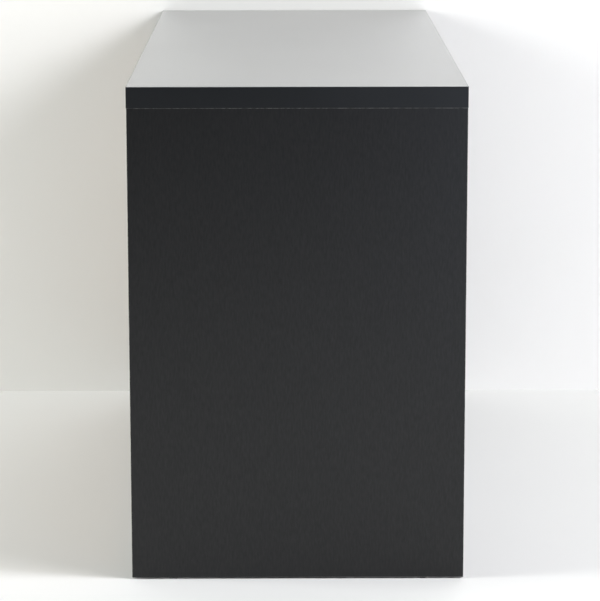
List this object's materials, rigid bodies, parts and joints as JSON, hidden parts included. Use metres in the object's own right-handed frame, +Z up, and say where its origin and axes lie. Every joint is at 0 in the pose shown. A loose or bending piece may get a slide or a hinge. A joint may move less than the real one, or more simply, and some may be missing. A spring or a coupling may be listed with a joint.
{
  "type": "dresser with drawers",
  "caption": "Low double dresser with a thick flush top, full-depth side panels and two columns of inset handle-free drawers on ball-bearing slides.",
  "frame": {"origin": "centre of the footprint, on the floor under the glides", "axes": "+X right along the length as seen from the front, +Y to the back, +Z up; the drawers pull out towards -Y"},
  "size_m": [1.2, 0.48, 0.715],
  "materials": {
    "black_laminate": "satin black melamine laminate on chipboard, with a faint fine grain",
    "grey_foil": "matt grey foil on chipboard",
    "hardboard": "painted hardboard, smooth on one face",
    "zinc_steel": "bright zinc plating",
    "cast_zinc": "cast zinc alloy",
    "beech": "fluted beech dowel",
    "black_plastic": "black nylon"
  },
  "bodies": {
    "carcass": {"top_panel": "black_laminate", "side_panel_left": "black_laminate", "side_panel_right": "black_laminate", "bottom_panel": "black_laminate", "centre_divider": "black_laminate", "plinth_front": "black_laminate", "plinth_rear": "black_laminate", "back_panel": "hardboard", "cabinet_slide_rails": "zinc_steel", "cam_lock_fittings": "cast_zinc", "wooden_dowels": "beech", "floor_glides": "black_plastic"},
    "drawer_lower_left": {"drawer_lower_left_front": "black_laminate", "drawer_lower_left_side_left": "grey_foil", "drawer_lower_left_side_right": "grey_foil", "drawer_lower_left_back": "grey_foil", "drawer_lower_left_bottom": "hardboard", "drawer_lower_left_slide_inner": "zinc_steel", "drawer_lower_left_fixings": "cast_zinc"},
    "drawer_lower_left_slide_middles": {"drawer_lower_left_slide_middle": "zinc_steel"},
    "drawer_lower_right": {"drawer_lower_right_front": "black_laminate", "drawer_lower_right_side_left": "grey_foil", "drawer_lower_right_side_right": "grey_foil", "drawer_lower_right_back": "grey_foil", "drawer_lower_right_bottom": "hardboard", "drawer_lower_right_slide_inner": "zinc_steel", "drawer_lower_right_fixings": "cast_zinc"},
    "drawer_lower_right_slide_middles": {"drawer_lower_right_slide_middle": "zinc_steel"},
    "drawer_middle_left": {"drawer_middle_left_front": "black_laminate", "drawer_middle_left_side_left": "grey_foil", "drawer_middle_left_side_right": "grey_foil", "drawer_middle_left_back": "grey_foil", "drawer_middle_left_bottom": "hardboard", "drawer_middle_left_slide_inner": "zinc_steel", "drawer_middle_left_fixings": "cast_zinc"},
    "drawer_middle_left_slide_middles": {"drawer_middle_left_slide_middle": "zinc_steel"},
    "drawer_middle_right": {"drawer_middle_right_front": "black_laminate", "drawer_middle_right_side_left": "grey_foil", "drawer_middle_right_side_right": "grey_foil", "drawer_middle_right_back": "grey_foil", "drawer_middle_right_bottom": "hardboard", "drawer_middle_right_slide_inner": "zinc_steel", "drawer_middle_right_fixings": "cast_zinc"},
    "drawer_middle_right_slide_middles": {"drawer_middle_right_slide_middle": "zinc_steel"},
    "drawer_upper_left": {"drawer_upper_left_front": "black_laminate", "drawer_upper_left_side_left": "grey_foil", "drawer_upper_left_side_right": "grey_foil", "drawer_upper_left_back": "grey_foil", "drawer_upper_left_bottom": "hardboard", "drawer_upper_left_slide_inner": "zinc_steel", "drawer_upper_left_fixings": "cast_zinc"},
    "drawer_upper_left_slide_middles": {"drawer_upper_left_slide_middle": "zinc_steel"},
    "drawer_upper_right": {"drawer_upper_right_front": "black_laminate", "drawer_upper_right_side_left": "grey_foil", "drawer_upper_right_side_right": "grey_foil", "drawer_upper_right_back": "grey_foil", "drawer_upper_right_bottom": "hardboard", "drawer_upper_right_slide_inner": "zinc_steel", "drawer_upper_right_fixings": "cast_zinc"},
    "drawer_upper_right_slide_middles": {"drawer_upper_right_slide_middle": "zinc_steel"}
  },
  "joints": [
    {"name": "drawer_lower_left_pull", "type": "slide", "parent": "carcass", "child": "drawer_lower_left", "axis": [0, -1, 0], "range_m": [0, 0.38]},
    {"name": "drawer_lower_left_telescope", "type": "slide", "parent": "carcass", "child": "drawer_lower_left_slide_middles", "axis": [0, -1, 0], "range_m": [0, 0.19]},
    {"name": "drawer_lower_right_pull", "type": "slide", "parent": "carcass", "child": "drawer_lower_right", "axis": [0, -1, 0], "range_m": [0, 0.38]},
    {"name": "drawer_lower_right_telescope", "type": "slide", "parent": "carcass", "child": "drawer_lower_right_slide_middles", "axis": [0, -1, 0], "range_m": [0, 0.19]},
    {"name": "drawer_middle_left_pull", "type": "slide", "parent": "carcass", "child": "drawer_middle_left", "axis": [0, -1, 0], "range_m": [0, 0.38]},
    {"name": "drawer_middle_left_telescope", "type": "slide", "parent": "carcass", "child": "drawer_middle_left_slide_middles", "axis": [0, -1, 0], "range_m": [0, 0.19]},
    {"name": "drawer_middle_right_pull", "type": "slide", "parent": "carcass", "child": "drawer_middle_right", "axis": [0, -1, 0], "range_m": [0, 0.38]},
    {"name": "drawer_middle_right_telescope", "type": "slide", "parent": "carcass", "child": "drawer_middle_right_slide_middles", "axis": [0, -1, 0], "range_m": [0, 0.19]},
    {"name": "drawer_upper_left_pull", "type": "slide", "parent": "carcass", "child": "drawer_upper_left", "axis": [0, -1, 0], "range_m": [0, 0.38]},
    {"name": "drawer_upper_left_telescope", "type": "slide", "parent": "carcass", "child": "drawer_upper_left_slide_middles", "axis": [0, -1, 0], "range_m": [0, 0.19]},
    {"name": "drawer_upper_right_pull", "type": "slide", "parent": "carcass", "child": "drawer_upper_right", "axis": [0, -1, 0], "range_m": [0, 0.38]},
    {"name": "drawer_upper_right_telescope", "type": "slide", "parent": "carcass", "child": "drawer_upper_right_slide_middles", "axis": [0, -1, 0], "range_m": [0, 0.19]}
  ],
  "couplings": [
    {"joint": "drawer_lower_left_telescope", "follows": "drawer_lower_left_pull", "ratio": 0.5},
    {"joint": "drawer_lower_right_telescope", "follows": "drawer_lower_right_pull", "ratio": 0.5},
    {"joint": "drawer_middle_left_telescope", "follows": "drawer_middle_left_pull", "ratio": 0.5},
    {"joint": "drawer_middle_right_telescope", "follows": "drawer_middle_right_pull", "ratio": 0.5},
    {"joint": "drawer_upper_left_telescope", "follows": "drawer_upper_left_pull", "ratio": 0.5},
    {"joint": "drawer_upper_right_telescope", "follows": "drawer_upper_right_pull", "ratio": 0.5}
  ]
}
